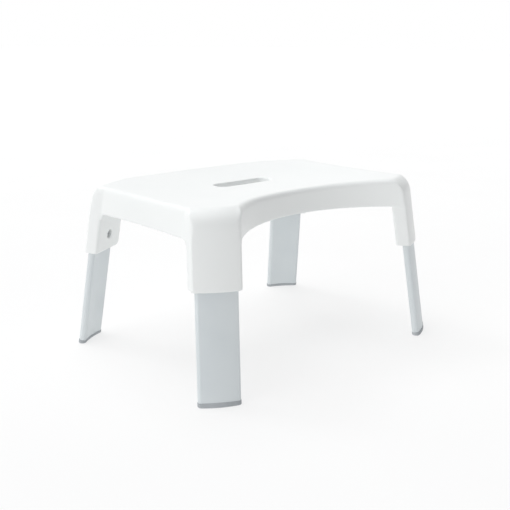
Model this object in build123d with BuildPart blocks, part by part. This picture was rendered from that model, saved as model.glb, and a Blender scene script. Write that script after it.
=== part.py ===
from build123d import *
import os
from math import cos, radians, sin, tan

# A four-legged bath stool: one moulded plastic seat with four corner columns, four leaning
# aluminium legs screwed into them, and a rubber foot under each leg.
# Origin: on the floor under the middle of the seat. X is the long way, -Y is the curved-in front.

# ---- driving dimensions, mm -------------------------------------------------------------------
corner_height = 248.8                  # deck at the short ends; the corners rise to 250.6

# legs: each leans outwards, straight across its own corner
foot_x, foot_y = 211.9, 164.6          # leg centre on the floor
corner_facing = 60.0                   # direction that a corner faces, degrees from X
leg_lean_x, leg_lean_y = 4.9, 8.0      # degrees outwards from upright
leg_width = 56.4                       # across the crescent's ends
leg_bow = 3.6                          # rise of the crescent's outer arc
leg_thickness = 11.1
leg_wall = 1.6
leg_edge_radius = 5.2                  # the ends are almost fully round
leg_web = 1.4                          # two inner webs part the leg into three chambers
leg_web_at = 9.6
leg_bottom = 6.5                       # along the leg, from the floor
leg_top = 236.0

# seat moulding
wall = 2.8
deck = 3.5
skirt_bottom = 208.0
column_bottom = 146.7
column_roof = 236.0                    # flat roof of the space inside a column
column_outer_half = 32.6
column_outer_at = 1.2                  # corners of the outer face, outwards from the leg's middle
column_bow = 3.55
column_inner_half = 35.9
column_inner_at = -20.1                # inner panel, inwards from the leg's middle
column_edge_radius = 3.5
box_reach = 48.0                       # how far the column's box runs into the skirt
front_middle = -82.2                   # the front curves in to here
rear_middle = 158.0
side_middle = 211.5
rim_radius = 8.0                       # rounding of the seat's top edge
rim_corner_radius = 16.0               # rounding of the outline's corners just above the rim

# the deck's dish: height at the middle of the front and rear rims, and at its lowest
rim_height = 246.5
dish_height = 239.5
dish_middle = 27.4
dish_half_length = 222.0
dish_half_width = 120.0
deck_reach = 200.0                     # how far the dish surface is drawn past its middle

# hand slot
slot_length, slot_width = 107.6, 26.4
slot_y = 35.0
collar_wall = 2.5
collar_bottom = 226.0

# ribs under the deck
rib_thickness = 2.2
rib_bottom = 224.0
long_rib_ys = (-42.0, 96.0)
cross_rib_xs = (-140.0, -78.0, 78.0, 140.0)

# leg fixing: a screw in a deep cup in each inner panel
screw_height = 173.6
cup_bore = 13.2
cup_wall = 2.4
cup_floor = 2.6
cup_gap = 0.45                         # cup clear of the leg's hollow inner face
screw_diameter = 5.0
screw_hole = 5.6
head_diameter, head_height = 9.2, 3.2
washer_diameter, washer_thickness = 11.5, 1.0
nut_across_flats, nut_thickness = 8.0, 4.0
screw_length = 12.4
recess_length, recess_width, recess_depth = 5.2, 1.1, 1.9
fit = 0.15                             # clearance round pieces that slide together

# plug in the top of each leg, with a slot that holds the nut
plug_flange = 2.0
plug_bottom = 158.0
nut_at = -4.2                          # middle of the nut, outwards from the leg's middle

# ribs inside each column
column_rib = 2.2
column_rib_at = 20.0
column_rib_bottom = 156.0

# rubber feet
foot_proud = 0.5
foot_tongue = 14.0
sole_radius = 1.4

# how far the shapes that cut, or are cut, run past what they meet
past = 60.0
bore_run = 20.0
column_run = 110.0
foot_run = 10.0
rib_run = 500.0
block_top = 290.0

# worked out from the above
leg_inner_face = -leg_thickness - 0.2                 # where the column ribs stop
leg_middle_face = leg_bow / 2 - leg_thickness         # inner face at the screw
cup_floor_at = leg_middle_face - cup_gap - cup_floor  # where the washer sits

# ---- shared frames and profiles ---------------------------------------------------------------
corners = {
    "front_left": (-1, -1),
    "front_right": (1, -1),
    "rear_left": (-1, 1),
    "rear_right": (1, 1),
}
lean_x = tan(radians(leg_lean_x))
lean_y = tan(radians(leg_lean_y))


def facing(sx, sy):
    """Level direction that a corner faces."""
    return Vector(sx * cos(radians(corner_facing)), sy * sin(radians(corner_facing)), 0)


def leg_axis(sx, sy):
    """Direction up the leg."""
    return Vector(-sx * lean_x, -sy * lean_y, 1).normalized()


def level_plane(sx, sy, height):
    """Level plane on the leg's centre line: x across the corner, y outwards."""
    out = facing(sx, sy)
    centre = (sx * (foot_x - lean_x * height), sy * (foot_y - lean_y * height), height)
    return Plane(origin=centre, x_dir=(out.Y, -out.X, 0), z_dir=(0, 0, 1))


def leg_plane(sx, sy):
    """Plane square to the leg at the floor: x across the corner, y outwards."""
    out = facing(sx, sy)
    return Plane(origin=(sx * foot_x, sy * foot_y, 0), x_dir=(out.Y, -out.X, 0), z_dir=leg_axis(sx, sy))


def screw_plane(sx, sy, out):
    """Plane across the screw, `out` mm outwards from the leg's middle, facing into the seat."""
    base = leg_plane(sx, sy)
    centre = base.origin + base.z_dir * (screw_height / base.z_dir.Z) + base.y_dir * out
    return Plane(origin=centre, x_dir=base.x_dir, z_dir=-base.y_dir)


def crescent(grow=0.0):
    """Leg section: outer and inner arcs share one centre, with level ends."""
    half = leg_width / 2 + grow
    top = leg_bow / 2 + grow
    low = -leg_bow / 2 + grow
    depth = leg_thickness + 2 * grow
    with BuildLine() as outline:
        outer = ThreePointArc((-half, low), (0, top), (half, low))
        inner = ThreePointArc((half, low - depth), (0, top - depth), (-half, low - depth))
        Line(outer @ 1, inner @ 0)
        Line(inner @ 1, outer @ 0)
    make_face(outline.edges())


def column_section():
    """Column section: bowed outer face, sides that widen inwards, flat inner panel."""
    with BuildLine() as outline:
        bow_top = column_outer_at + column_bow
        outer = ThreePointArc((-column_outer_half, column_outer_at), (0, bow_top),
                              (column_outer_half, column_outer_at))
        Polyline(outer @ 1, (column_inner_half, column_inner_at),
                 (-column_inner_half, column_inner_at), outer @ 0)
    make_face(outline.edges())


def seat_section(height, inset=0.0):
    """Seat outline at a height: bowed corner faces joined by the front, rear and side curves."""
    face_half = column_outer_half - 0.6 * inset
    face_at = column_outer_at - inset
    notch_half = column_inner_half - inset

    def point(sx, sy, across, out):
        at = level_plane(sx, sy, height).from_local_coords((-across * sx * sy, out, 0))
        return (at.X, at.Y)

    with BuildLine() as outline:
        for sy, middle in ((-1, front_middle + inset), (1, rear_middle - inset)):
            ThreePointArc(point(-1, sy, face_half, face_at), (0, middle), point(1, sy, face_half, face_at))
        for sx in (-1, 1):
            notches = [point(sx, sy, -notch_half, column_inner_at) for sy in (-1, 1)]
            ThreePointArc(notches[0], (sx * (side_middle - inset), 0), notches[1])
            for sy, notch in zip((-1, 1), notches):
                Line(notch, point(sx, sy, -face_half, face_at))
                ThreePointArc(point(sx, sy, -face_half, face_at),
                              point(sx, sy, 0, face_at + column_bow),
                              point(sx, sy, face_half, face_at))
    make_face(outline.edges())


def seat_block(inset, corner_radii, rounding):
    """Solid seat below the dished surface, drawn in by `inset`, with its top edge rounded."""
    with BuildPart() as block:
        for height, corner_radius in zip((skirt_bottom, corner_height + 10), corner_radii):
            with BuildSketch(Plane.XY.offset(height)) as outline:
                seat_section(height, inset)
                fillet(outline.vertices(), radius=corner_radius)
        loft(ruled=True)
        add(below_deck if inset else above_deck.part, mode=Mode.SUBTRACT)
        fillet(block.faces().sort_by(Axis.Z)[-1].edges(), radius=rounding)
    return block.part


# ---- seat: the space above the dished deck ------------------------------------------------------
with BuildPart() as above_deck:
    for station in (-240, -120, 0, 120, 240):
        sink = 1 - (station / dish_half_length) ** 2
        low = corner_height - (corner_height - dish_height) * sink
        end = low + (rim_height - dish_height) * sink * (deck_reach / dish_half_width) ** 2
        front, rear = dish_middle - deck_reach, dish_middle + deck_reach
        with BuildSketch(Plane.YZ.offset(station)):
            with BuildLine():
                sag = ThreePointArc((front, end), (dish_middle, low), (rear, end))
                Polyline(sag @ 1, (rear, block_top), (front, block_top), sag @ 0)
            make_face()
    loft()
below_deck = Pos(0, 0, -deck) * above_deck.part

# ---- seat: the space inside the skirt, with ribs, collar and column boxes left standing ---------
with BuildPart() as cavity:
    add(seat_block(wall, (1.0, rim_corner_radius - wall), rim_radius - wall))
    with BuildSketch(Plane.XY.offset(rib_bottom)):
        with Locations(*[(0, y) for y in long_rib_ys]):
            Rectangle(rib_run, rib_thickness)
        with Locations(*[(x, 0) for x in cross_rib_xs]):
            Rectangle(rib_thickness, rib_run)
    extrude(amount=past, mode=Mode.SUBTRACT)
    with BuildSketch(Plane.XY.offset(collar_bottom)):
        with Locations((0, slot_y)):
            SlotOverall(slot_length + 2 * collar_wall, slot_width + 2 * collar_wall)
    extrude(amount=past, mode=Mode.SUBTRACT)
    for sx, sy in corners.values():
        long_side = box_reach if sy < 0 else column_inner_half + 0.5
        with BuildSketch(level_plane(sx, sy, skirt_bottom)):
            with BuildLine():
                Polyline((sx * sy * box_reach, column_inner_at), (sx * sy * box_reach, box_reach),
                         (-sx * sy * long_side, box_reach), (-sx * sy * long_side, column_inner_at),
                         close=True)
            make_face()
        extrude(amount=past, dir=leg_axis(sx, sy), mode=Mode.SUBTRACT)


def column_cavity(sx, sy):
    """Space inside a corner column, with its two ribs and the screw cup left standing."""
    up = leg_axis(sx, sy)
    with BuildPart() as space:
        with BuildSketch(level_plane(sx, sy, column_bottom)):
            column_section()
            offset(amount=-wall, kind=Kind.INTERSECTION)
        extrude(amount=(column_roof - column_bottom) / up.Z, dir=up)
        with BuildSketch(leg_plane(sx, sy).offset(column_rib_bottom)):
            with Locations((-column_rib_at, leg_inner_face - fit), (column_rib_at, leg_inner_face - fit)):
                Rectangle(column_rib, 20, align=(Align.CENTER, Align.MAX))
        extrude(amount=column_run, mode=Mode.SUBTRACT)
        with BuildSketch(screw_plane(sx, sy, leg_middle_face - cup_gap)):
            Circle(cup_bore / 2 + cup_wall)
        extrude(amount=bore_run, mode=Mode.SUBTRACT)
    return space.part


def leg_chambers(inset):
    """The leg's three inner chambers, drawn in by `inset`."""
    with BuildSketch() as chambers:
        crescent(-leg_wall - inset)
        fillet(chambers.vertices(), radius=leg_edge_radius - leg_wall - inset)
        with Locations((-leg_web_at, 0), (leg_web_at, 0)):
            Rectangle(leg_web + 2 * inset, past, mode=Mode.SUBTRACT)
    return chambers.sketch


# ---- seat moulding ------------------------------------------------------------------------------
with BuildPart() as seat:
    add(seat_block(0, (column_edge_radius, rim_corner_radius), rim_radius))
    add(cavity.part, mode=Mode.SUBTRACT)
    for sx, sy in corners.values():
        up = leg_axis(sx, sy)
        with BuildSketch(level_plane(sx, sy, column_bottom)) as column:
            column_section()
            fillet(column.vertices(), radius=column_edge_radius)
        extrude(amount=(skirt_bottom - column_bottom) / up.Z, dir=up)
    for sx, sy in corners.values():
        add(column_cavity(sx, sy), mode=Mode.SUBTRACT)
        with BuildSketch(screw_plane(sx, sy, cup_floor_at)):
            Circle(cup_bore / 2)
        extrude(amount=bore_run, mode=Mode.SUBTRACT)
        with BuildSketch(screw_plane(sx, sy, leg_middle_face + 1)):
            Circle(screw_hole / 2)
        extrude(amount=10, mode=Mode.SUBTRACT)
    with BuildSketch(Plane.XY.offset(collar_bottom - 1)):
        with Locations((0, slot_y)):
            SlotOverall(slot_length, slot_width)
    extrude(amount=past, mode=Mode.SUBTRACT)
os.makedirs("parts", exist_ok=True)
seat.part.label = "seat"
export_step(seat.part, "parts/seat.step")

# ---- legs and what is fixed to each -------------------------------------------------------------
for corner, (sx, sy) in corners.items():
    base = leg_plane(sx, sy)
    screw_at = screw_height / base.z_dir.Z

    with BuildPart() as leg:
        with BuildSketch(base.offset(leg_bottom)) as section:
            crescent()
            fillet(section.vertices(), radius=leg_edge_radius)
            add(leg_chambers(0), mode=Mode.SUBTRACT)
        extrude(amount=leg_top - leg_bottom)
        with BuildSketch(screw_plane(sx, sy, leg_middle_face + leg_wall + 1)):
            Circle(screw_hole / 2)
        extrude(amount=leg_wall + 2, mode=Mode.SUBTRACT)
    leg.part.label = f"leg_{corner}"
    export_step(leg.part, f"parts/leg_{corner}.step")

    with BuildPart() as foot:
        with BuildSketch(base.offset(-foot_run)) as section:
            crescent(foot_proud)
            fillet(section.vertices(), radius=leg_edge_radius + foot_proud)
        extrude(amount=leg_bottom + foot_run)
        split(bisect_by=Plane.XY, keep=Keep.TOP)
        fillet(foot.faces().sort_by(Axis.Z)[0].edges(), radius=sole_radius)
        with BuildSketch(base.offset(leg_bottom)):
            add(leg_chambers(fit))
        extrude(amount=foot_tongue)
    foot.part.label = f"foot_{corner}"
    export_step(foot.part, f"parts/foot_{corner}.step")

    with BuildPart() as plug:
        with BuildSketch(base.offset(plug_bottom)):
            add(leg_chambers(fit))
            Rectangle(2 * leg_web_at, past, mode=Mode.INTERSECT)
        extrude(amount=leg_top - plug_bottom)
        with BuildSketch(base.offset(leg_top)) as flange:
            crescent(-0.4)
            fillet(flange.vertices(), radius=leg_edge_radius - 0.4)
        extrude(amount=plug_flange)
        with BuildSketch(base.offset(plug_bottom)):
            with Locations((0, nut_at)):
                Rectangle(nut_across_flats + 2 * fit, nut_thickness + 2 * fit)
        extrude(amount=screw_at - plug_bottom + nut_across_flats / 2 + fit, mode=Mode.SUBTRACT)
        with BuildSketch(screw_plane(sx, sy, 2)):
            Circle(screw_hole / 2)
        extrude(amount=bore_run, mode=Mode.SUBTRACT)
    plug.part.label = f"leg_plug_{corner}"
    export_step(plug.part, f"parts/leg_plug_{corner}.step")

    with BuildPart() as nut:
        with BuildSketch(screw_plane(sx, sy, nut_at + nut_thickness / 2)):
            Rectangle(nut_across_flats, nut_across_flats)
            Circle(screw_diameter / 2, mode=Mode.SUBTRACT)
        extrude(amount=nut_thickness)
    nut.part.label = f"leg_nut_{corner}"
    export_step(nut.part, f"parts/leg_nut_{corner}.step")

    with BuildPart() as washer:
        with BuildSketch(screw_plane(sx, sy, cup_floor_at)):
            Circle(washer_diameter / 2)
            Circle(screw_hole / 2, mode=Mode.SUBTRACT)
        extrude(amount=washer_thickness)
    washer.part.label = f"leg_washer_{corner}"
    export_step(washer.part, f"parts/leg_washer_{corner}.step")

    with BuildPart() as screw:
        with BuildSketch(screw_plane(sx, sy, cup_floor_at - washer_thickness)):
            Circle(head_diameter / 2)
        extrude(amount=head_height)
        fillet(screw.edges().filter_by(GeomType.CIRCLE).sort_by_distance(Vertex(0, 0, screw_height))[0],
               radius=1.2)
        with BuildSketch(screw_plane(sx, sy, cup_floor_at - washer_thickness)):
            Circle(screw_diameter / 2 - 0.05)
        extrude(amount=-screw_length)
        with BuildSketch(screw_plane(sx, sy, cup_floor_at - washer_thickness - head_height)):
            Rectangle(recess_length, recess_width)
            Rectangle(recess_width, recess_length)
        extrude(amount=-recess_depth, mode=Mode.SUBTRACT)
    screw.part.label = f"leg_screw_{corner}"
    export_step(screw.part, f"parts/leg_screw_{corner}.step")
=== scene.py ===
from math import cos, pi, radians, sin

import bmesh
import bpy
import numpy as np
from mathutils import Matrix, Vector


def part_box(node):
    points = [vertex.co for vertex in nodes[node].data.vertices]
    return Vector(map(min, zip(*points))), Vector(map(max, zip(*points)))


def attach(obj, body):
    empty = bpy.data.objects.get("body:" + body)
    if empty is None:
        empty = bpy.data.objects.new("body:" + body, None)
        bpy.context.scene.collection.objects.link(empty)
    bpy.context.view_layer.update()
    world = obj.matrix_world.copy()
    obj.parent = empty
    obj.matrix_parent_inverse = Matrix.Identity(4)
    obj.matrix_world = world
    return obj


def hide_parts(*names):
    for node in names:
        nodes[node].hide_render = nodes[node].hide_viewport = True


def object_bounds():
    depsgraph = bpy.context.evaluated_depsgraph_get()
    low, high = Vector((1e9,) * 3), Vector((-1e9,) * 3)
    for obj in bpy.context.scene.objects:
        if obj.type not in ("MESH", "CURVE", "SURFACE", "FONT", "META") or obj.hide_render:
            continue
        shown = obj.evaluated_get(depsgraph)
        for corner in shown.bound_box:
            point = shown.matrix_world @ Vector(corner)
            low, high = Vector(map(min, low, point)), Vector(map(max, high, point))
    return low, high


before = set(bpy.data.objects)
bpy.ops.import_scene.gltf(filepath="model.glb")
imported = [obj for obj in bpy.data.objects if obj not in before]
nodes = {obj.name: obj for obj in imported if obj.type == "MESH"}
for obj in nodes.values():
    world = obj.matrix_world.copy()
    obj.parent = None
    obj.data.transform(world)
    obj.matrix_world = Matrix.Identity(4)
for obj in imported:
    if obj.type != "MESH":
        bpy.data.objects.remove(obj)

# A bath stool: a white moulded seat on four aluminium legs with rubber feet. Lengths are in metres.

cad_low, cad_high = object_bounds()
corners = ("front_left", "front_right", "rear_left", "rear_right")
scene = bpy.context.scene


# ---- materials ---------------------------------------------------------------------------------
tone_start = 0.3                 # noise level at which a colour leaves its dark tone
tone_end = 0.7                   # noise level at which it reaches its light tone


class Look:
    """A principled material with its noise, bump and roughness nodes."""

    def __init__(self, name, roughness, metallic=0.0):
        self.material = bpy.data.materials.new(name)
        self.material.use_nodes = True
        self.tree = self.material.node_tree
        self.shader = self.tree.nodes["Principled BSDF"]
        self.shader.inputs["Roughness"].default_value = roughness
        self.shader.inputs["Metallic"].default_value = metallic
        self.place = self.tree.nodes.new("ShaderNodeTexCoord").outputs["Object"]
        self.normal = None

    def link(self, start, end):
        self.tree.links.new(start, end)

    def noise(self, scale, detail, stretch=(1, 1, 1)):
        """Noise in the object's own frame, one cell about 1/scale metres.

        A stretch below 1 draws the cells out along that axis.
        """
        squeeze = self.tree.nodes.new("ShaderNodeMapping")
        squeeze.inputs["Scale"].default_value = stretch
        self.link(self.place, squeeze.inputs["Vector"])
        noise = self.tree.nodes.new("ShaderNodeTexNoise")
        noise.inputs["Scale"].default_value = scale
        noise.inputs["Detail"].default_value = detail
        self.link(squeeze.outputs["Vector"], noise.inputs["Vector"])
        return noise.outputs["Fac"]

    def color(self, source, dark, light):
        """The base colour runs from dark to light as the source goes from tone_start to tone_end."""
        ramp = self.tree.nodes.new("ShaderNodeValToRGB")
        ramp.color_ramp.elements[0].position = tone_start
        ramp.color_ramp.elements[0].color = (*dark, 1)
        ramp.color_ramp.elements[1].position = tone_end
        ramp.color_ramp.elements[1].color = (*light, 1)
        self.link(source, ramp.inputs["Fac"])
        self.link(ramp.outputs["Color"], self.shader.inputs["Base Color"])

    def roughness(self, source, low, high):
        """The roughness runs from low to high with the source."""
        span = self.tree.nodes.new("ShaderNodeMapRange")
        span.inputs["To Min"].default_value = low
        span.inputs["To Max"].default_value = high
        self.link(source, span.inputs["Value"])
        self.link(span.outputs["Result"], self.shader.inputs["Roughness"])

    def bump(self, source, height):
        """Relief of so many metres, laid over any relief already there."""
        bump = self.tree.nodes.new("ShaderNodeBump")
        bump.inputs["Distance"].default_value = height
        bump.inputs["Strength"].default_value = 1.0
        self.link(source, bump.inputs["Height"])
        if self.normal is not None:
            self.link(self.normal, bump.inputs["Normal"])
        self.normal = bump.outputs["Normal"]
        self.link(self.normal, self.shader.inputs["Normal"])


def seat_plastic():
    """White polypropylene with a soft gloss: faint sink marks, a fine grain, a slight gloss change."""
    look = Look("seat_plastic", roughness=0.3)
    look.color(look.noise(scale=9, detail=3), dark=(0.855, 0.875, 0.87), light=(0.875, 0.89, 0.885))
    look.roughness(look.noise(scale=30, detail=4), low=0.29, high=0.36)
    look.bump(look.noise(scale=5, detail=1), height=0.0002)
    look.bump(look.noise(scale=1400, detail=2), height=0.000004)
    return look.material


def leg_aluminium():
    """Satin anodised extrusion: fine upright streaks on a soft, slightly blue grey."""
    look = Look("leg_aluminium", roughness=0.4, metallic=0.25)
    streaks = look.noise(scale=900, detail=3, stretch=(1, 1, 0.012))
    look.color(look.noise(scale=12, detail=3), dark=(0.66, 0.705, 0.725), light=(0.71, 0.75, 0.765))
    look.roughness(streaks, low=0.34, high=0.5)
    look.bump(streaks, height=0.00001)
    return look.material


def foot_rubber():
    """Grey thermoplastic rubber with a fine matt grain and paler scuffing."""
    look = Look("foot_rubber", roughness=0.7)
    look.color(look.noise(scale=60, detail=5), dark=(0.38, 0.405, 0.425), light=(0.45, 0.475, 0.495))
    look.roughness(look.noise(scale=200, detail=4), low=0.55, high=0.8)
    look.bump(look.noise(scale=1600, detail=3), height=0.00004)
    return look.material


def plug_plastic():
    """Matt grey nylon."""
    look = Look("plug_plastic", roughness=0.5)
    look.color(look.noise(scale=80, detail=3), dark=(0.2, 0.21, 0.22), light=(0.25, 0.26, 0.27))
    look.roughness(look.noise(scale=300, detail=3), low=0.42, high=0.6)
    look.bump(look.noise(scale=1500, detail=2), height=0.00002)
    return look.material


def fastener_steel():
    """Zinc-plated steel, mottled and finely grained."""
    look = Look("fastener_steel", roughness=0.3, metallic=1.0)
    look.color(look.noise(scale=120, detail=3), dark=(0.5, 0.52, 0.54), light=(0.62, 0.63, 0.64))
    look.roughness(look.noise(scale=900, detail=3), low=0.3, high=0.45)
    look.bump(look.noise(scale=2200, detail=2), height=0.000008)
    return look.material


looks = {
    "seat": seat_plastic(),
    "leg": leg_aluminium(),
    "foot": foot_rubber(),
    "leg_plug": plug_plastic(),
}
looks["leg_nut"] = looks["leg_washer"] = looks["leg_screw"] = fastener_steel()
for name, node in nodes.items():
    kind = name
    for corner in corners:
        kind = kind.removesuffix("_" + corner)
    node.data.materials.clear()
    node.data.materials.append(looks[kind])


# ---- the moulded seat --------------------------------------------------------------------------
wall = 0.0028                    # thickness of the skirt and the columns
skirt_bottom = 0.208             # height of the skirt's bottom edge
foot_at = Vector((0.2119, 0.1646, 0))     # middle of a leg at the floor
leg_lean = Vector((0.0857, 0.1405, 0))    # how much nearer the middle it comes for each metre up

corner_facing = radians(60)      # direction that a corner's outer face looks, from X
face_half = 0.0326               # half the width of a corner face
face_out = 0.0012                # how far its ends stand out from the leg's middle
face_bow = 0.00355               # how much further its middle stands out
corner_rounding = 0.024          # the seat's top edge rolls over each corner face on this radius

panel_half = 0.0359              # half the width of an inner panel
panel_in = 0.0201                # how far it lies inside the leg's middle
panel_cut_width = 0.008          # cut off the lower corner of each rear panel
panel_cut_height = 0.006

arch_radius = 0.008              # web where the skirt's bottom edge runs into a column
arch_steps = 8                   # straight pieces in its quarter circle
arch_overlap = 0.001             # how far a web reaches into the skirt and the column
short_inset = 0.07               # the short skirt leaves a column this much inwards per metre
front_across = 0.7               # the front skirt leaves a column this far towards the middle
front_back = 0.72                # for this far backwards
rear_bow = 0.06                  # the rear skirt leaves a column this much outwards per metre

voxel = 0.0013                   # cell of the mesh that melts seat and webs together
ease_factor = 0.5                # how far one smoothing pass moves a point towards its neighbours
ease_passes = 10                 # on every edge
corner_ease_passes = 60          # on the rolled corner edges, before those
kept_faces = 0.26                # share of the voxel mesh's faces kept once it is smooth


def corner_directions(side_x, side_y):
    """Level directions out of a corner, and across it towards the seat's short side."""
    out = Vector((side_x * cos(corner_facing), side_y * sin(corner_facing), 0))
    return out, Vector((side_x * sin(corner_facing), -side_y * cos(corner_facing), 0))


def leg_middle(side_x, side_y, height):
    """The leg's middle at a height."""
    place = foot_at - leg_lean * height
    return Vector((side_x * place.x, side_y * place.y, height))


def arch_web(start, along, inward):
    """Points and faces of a concave web below the skirt, from a column's edge along the skirt."""
    profile = [(-arch_overlap, arch_overlap), (arch_radius, arch_overlap)]
    for step in range(arch_steps + 1):
        turn = pi / 2 * (1 + step / arch_steps)
        profile.append((arch_radius * (1 + cos(turn)), arch_radius * (sin(turn) - 1)))
    profile.append((-arch_overlap, -arch_radius))
    points = []
    for depth in (0, wall):
        for run, rise in profile:
            points.append(start + along * run + inward * depth + Vector((0, 0, rise)))
    count = len(profile)
    faces = [tuple(range(count)), tuple(reversed(range(count, 2 * count)))]
    for first in range(count):
        second = (first + 1) % count
        faces.append((second, first, first + count, second + count))
    return points, faces


def seat_with_webs():
    """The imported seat's mesh with the eight webs laid into it."""
    points, faces = [], []
    for side_x in (-1, 1):
        for side_y in (-1, 1):
            out, across = corner_directions(side_x, side_y)
            middle = leg_middle(side_x, side_y, skirt_bottom)
            short_end = middle + across * panel_half - out * panel_in
            long_end = middle - across * face_half + out * face_out
            to_short = Vector((-short_inset * side_x, -side_y, 0)).normalized()
            if side_y < 0:
                to_long = Vector((-front_across * side_x, front_back, 0)).normalized()
                long_inward = Vector((front_back * side_x, front_across, 0)).normalized()
            else:
                to_long = Vector((-side_x, rear_bow, 0)).normalized()
                long_inward = Vector((0, -1, 0))
            for web_points, web_faces in (
                arch_web(short_end, to_short, Vector((-side_x, 0, 0))),
                arch_web(long_end, to_long, long_inward),
            ):
                faces += [tuple(index + len(points) for index in face) for face in web_faces]
                points += web_points
    webs = bpy.data.meshes.new("webs")
    webs.from_pydata(points, [], faces)
    joined = bmesh.new()
    joined.from_mesh(webs)
    bmesh.ops.recalc_face_normals(joined, faces=joined.faces)
    joined.from_mesh(nodes["seat"].data)
    mesh = bpy.data.meshes.new("seat_with_webs")
    joined.to_mesh(mesh)
    joined.free()
    return mesh


def corner_frames(places):
    """For each corner: its outward direction, its side in Y, and where the points are.

    The points come first as steps from the leg's middle at their own height, then as distances
    across the corner.
    """
    for side_x in (-1, 1):
        for side_y in (-1, 1):
            out, across = corner_directions(side_x, side_y)
            foot = np.array(leg_middle(side_x, side_y, 0))
            lean = np.array(leg_middle(side_x, side_y, 1)) - foot
            from_middle = places - foot - places[:, 2:] * lean
            yield np.array(out), side_y, from_middle, from_middle @ np.array(across)


def round_corners(places, normals, top):
    """Rolls the top edge over each corner face; gives each point's share in a rolled edge."""
    rolled_share = np.zeros(len(places))
    for out, _, from_middle, sideways in corner_frames(places):
        face = face_out + face_bow * (1 - np.minimum(1, np.abs(sideways) / face_half) ** 2)
        past = from_middle @ out - face + corner_rounding
        rise = places[:, 2] - (top - corner_rounding)
        # the wall's inner side rolls on a smaller radius, so that the wall keeps its thickness
        facing_out = (normals @ out) * past + normals[:, 2] * rise > 0
        radius = np.where(facing_out, corner_rounding, corner_rounding - wall)
        reach = np.hypot(past, rise)
        rolled = (past > 0) & (rise > 0) & (reach > radius)
        # half the radius only keeps the division safe: a rolled point's reach is always larger
        pull = np.where(rolled, radius / np.maximum(reach, radius / 2) - 1, 0)
        places += (past * pull)[:, None] * out
        places[:, 2] += rise * pull
        share = np.clip(past / corner_rounding, 0, 1) * np.clip(rise / corner_rounding, 0, 1)
        rolled_share = np.maximum(rolled_share, share)
    return rolled_share


def cut_rear_panels(places, bottom):
    """Slants off the lower corner of each rear inner panel, on the side away from the short skirt."""
    for out, side_y, from_middle, sideways in corner_frames(places):
        if side_y < 0:
            continue
        along_cut = np.clip((-sideways - (panel_half - panel_cut_width)) / panel_cut_width, 0, 1)
        # the cut grows from nothing at the leg's middle to its full height halfway to the panel
        inwards = np.clip(-(from_middle @ out) / (panel_in / 2), 0, 1)
        cut_line = bottom + panel_cut_height * along_cut * inwards
        in_column = (np.abs(from_middle @ out) < 2 * panel_in) & (np.abs(sideways) < 2 * panel_half)
        raised = in_column & (places[:, 2] < cut_line)
        places[:, 2] = np.where(raised, cut_line, places[:, 2])


def shape_corners(mesh, bottom, top):
    """Rounds and cuts the corners of the mesh, and gives each point's share in a rolled edge."""
    places = np.empty(len(mesh.vertices) * 3)
    normals = np.empty(len(mesh.vertices) * 3)
    mesh.vertices.foreach_get("co", places)
    mesh.vertex_normals.foreach_get("vector", normals)
    places = places.reshape(-1, 3)
    rolled_share = round_corners(places, normals.reshape(-1, 3), top)
    cut_rear_panels(places, bottom)
    mesh.vertices.foreach_set("co", places.ravel())
    mesh.update()
    return rolled_share


def apply_modifiers(piece):
    """The piece's mesh becomes what its modifiers make of it."""
    graph = bpy.context.evaluated_depsgraph_get()
    mesh = bpy.data.meshes.new_from_object(piece.evaluated_get(graph))
    piece.modifiers.clear()
    piece.data = mesh


def moulded_seat():
    """The seat as it leaves the mould, with webs at its arches and every edge eased."""
    plain = bpy.data.objects.new("plain_seat", seat_with_webs())
    piece = bpy.data.objects.new("moulded_seat", plain.data.copy())
    scene.collection.objects.link(plain)
    scene.collection.objects.link(piece)
    remesh = piece.modifiers.new("voxels", "REMESH")
    remesh.mode = "VOXEL"
    remesh.voxel_size = voxel
    remesh.use_smooth_shade = True
    # the points snap back to the plain seat, which takes out the steps that voxels leave
    snap = piece.modifiers.new("snap", "SHRINKWRAP")
    snap.target = plain
    apply_modifiers(piece)
    bpy.data.objects.remove(plain)
    rolled_share = shape_corners(piece.data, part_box("seat")[0].z, cad_high.z)
    rolled = piece.vertex_groups.new(name="rolled")
    for index in np.nonzero(rolled_share)[0]:
        rolled.add([int(index)], float(rolled_share[index]), "REPLACE")
    for group, passes in (("rolled", corner_ease_passes), ("", ease_passes)):
        ease = piece.modifiers.new("ease", "SMOOTH")
        ease.factor = ease_factor
        ease.iterations = passes
        ease.vertex_group = group
    thin = piece.modifiers.new("thin", "DECIMATE")
    thin.ratio = kept_faces
    apply_modifiers(piece)
    piece.data.materials.clear()
    piece.data.materials.append(looks["seat"])
    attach(piece, "root")
    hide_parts("seat")


moulded_seat()

# ---- studio ------------------------------------------------------------------------------------
scene.view_settings.view_transform = "Standard"

sky_horizon = (1.0, 1.0, 1.0)
sky_zenith = (0.3, 0.305, 0.31)
band_top = 0.14                  # sine of the height in the sky where the pale band ends
band_full = 0.05                 # and where it is full
backdrop_toward = (0.6, 0.77, 0.25)
backdrop_edge = 0.7              # cosine of the angle from the backdrop's middle where it ends
backdrop_full = 0.95             # and where it is full

floor_reach = 30.0
floor_drop = -0.0001             # just below the soles, so that the two surfaces don't coincide
floor_dark = (0.215, 0.215, 0.215)
floor_light = (0.225, 0.225, 0.225)
floor_glow = 0.72                # the floor's own light, which keeps it nearly white


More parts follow.
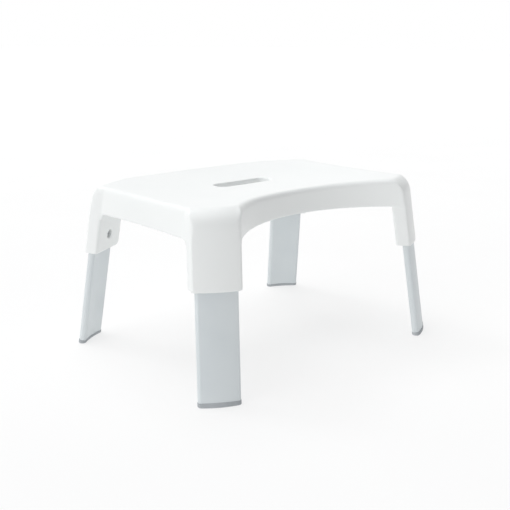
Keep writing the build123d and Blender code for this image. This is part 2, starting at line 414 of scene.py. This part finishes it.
def studio_sky():
    """Pale round the horizon and dimmer overhead, with a broad white backdrop behind the object."""
    world = bpy.data.worlds.new("studio")
    scene.world = world
    world.use_nodes = True
    tree = world.node_tree
    direction = tree.nodes.new("ShaderNodeTexCoord").outputs["Generated"]
    height = tree.nodes.new("ShaderNodeSeparateXYZ")
    tree.links.new(direction, height.inputs["Vector"])
    band = tree.nodes.new("ShaderNodeMapRange")
    band.inputs["From Min"].default_value = band_top
    band.inputs["From Max"].default_value = band_full
    tree.links.new(height.outputs["Z"], band.inputs["Value"])
    toward = tree.nodes.new("ShaderNodeVectorMath")
    toward.operation = "DOT_PRODUCT"
    toward.inputs[1].default_value = Vector(backdrop_toward).normalized()
    tree.links.new(direction, toward.inputs[0])
    backdrop = tree.nodes.new("ShaderNodeMapRange")
    backdrop.inputs["From Min"].default_value = backdrop_edge
    backdrop.inputs["From Max"].default_value = backdrop_full
    tree.links.new(toward.outputs["Value"], backdrop.inputs["Value"])
    share = tree.nodes.new("ShaderNodeMath")
    share.operation = "MAXIMUM"
    tree.links.new(band.outputs["Result"], share.inputs[0])
    tree.links.new(backdrop.outputs["Result"], share.inputs[1])
    ramp = tree.nodes.new("ShaderNodeValToRGB")
    ramp.color_ramp.elements[0].color = (*sky_zenith, 1)
    ramp.color_ramp.elements[1].color = (*sky_horizon, 1)
    tree.links.new(share.outputs["Value"], ramp.inputs["Fac"])
    tree.links.new(ramp.outputs["Color"], tree.nodes["Background"].inputs["Color"])


def studio_floor():
    """A softly glowing pale floor, which can't be seen from below."""
    places = [
        (-floor_reach, -floor_reach, floor_drop),
        (floor_reach, -floor_reach, floor_drop),
        (floor_reach, floor_reach, floor_drop),
        (-floor_reach, floor_reach, floor_drop),
    ]
    mesh = bpy.data.meshes.new("floor")
    mesh.from_pydata(places, [], [(0, 1, 2, 3)])
    floor = bpy.data.objects.new("floor", mesh)
    scene.collection.objects.link(floor)
    look = Look("floor", roughness=0.9)
    look.color(look.noise(scale=3, detail=2), dark=floor_dark, light=floor_light)
    look.shader.inputs["Emission Color"].default_value = (1, 1, 1, 1)
    look.shader.inputs["Emission Strength"].default_value = floor_glow
    one_sided = look.tree.nodes.new("ShaderNodeMixShader")
    geometry = look.tree.nodes.new("ShaderNodeNewGeometry")
    clear = look.tree.nodes.new("ShaderNodeBsdfTransparent")
    look.link(geometry.outputs["Backfacing"], one_sided.inputs["Fac"])
    look.link(look.shader.outputs["BSDF"], one_sided.inputs[1])
    look.link(clear.outputs["BSDF"], one_sided.inputs[2])
    look.link(one_sided.outputs["Shader"], look.tree.nodes["Material Output"].inputs["Surface"])
    mesh.materials.append(look.material)


def soft_light(name, toward, strength, spread):
    """A broad light from far off, spread over so many degrees.

    Its strength is in units of the light that makes a white surface look white.
    """
    data = bpy.data.lights.new(name, "SUN")
    data.energy = strength * pi
    data.angle = radians(spread)
    light = bpy.data.objects.new(name, data)
    scene.collection.objects.link(light)
    light.rotation_euler = Vector(toward).to_track_quat("Z", "Y").to_euler()


studio_sky()
studio_floor()
soft_light("left_light", toward=(-0.9, 0.0, 0.4), strength=0.27, spread=50)
soft_light("top_light", toward=(-0.1, 0.3, 1.0), strength=0.54, spread=60)
soft_light("rim_light", toward=(-0.2, 0.6, 0.77), strength=0.1, spread=14)

# ---- camera ------------------------------------------------------------------------------------
azimuth = radians(-42.25)        # from the front; negative is towards the left
elevation = radians(15.28)
roll = radians(0.48)
camera_distance = 1.232
camera_target = Vector((-0.005, 0, 0.1308))
sensor_width = 36.0              # in millimetres, like the focal length
focal_length = 56.1


def add_camera():
    """The camera looks at the target, with its top tipped to the left by the roll."""
    back = Vector((sin(azimuth) * cos(elevation), -cos(azimuth) * cos(elevation), sin(elevation)))
    level_right = Vector((cos(azimuth), sin(azimuth), 0))
    level_up = back.cross(level_right)
    right = level_right * cos(roll) + level_up * sin(roll)
    up = level_up * cos(roll) - level_right * sin(roll)
    data = bpy.data.cameras.new("camera")
    data.sensor_width = sensor_width
    data.lens = focal_length
    camera = bpy.data.objects.new("camera", data)
    scene.collection.objects.link(camera)
    turn = Matrix((right, up, back)).transposed().to_4x4()
    camera.matrix_world = Matrix.Translation(camera_target + back * camera_distance) @ turn
    scene.camera = camera


add_camera()
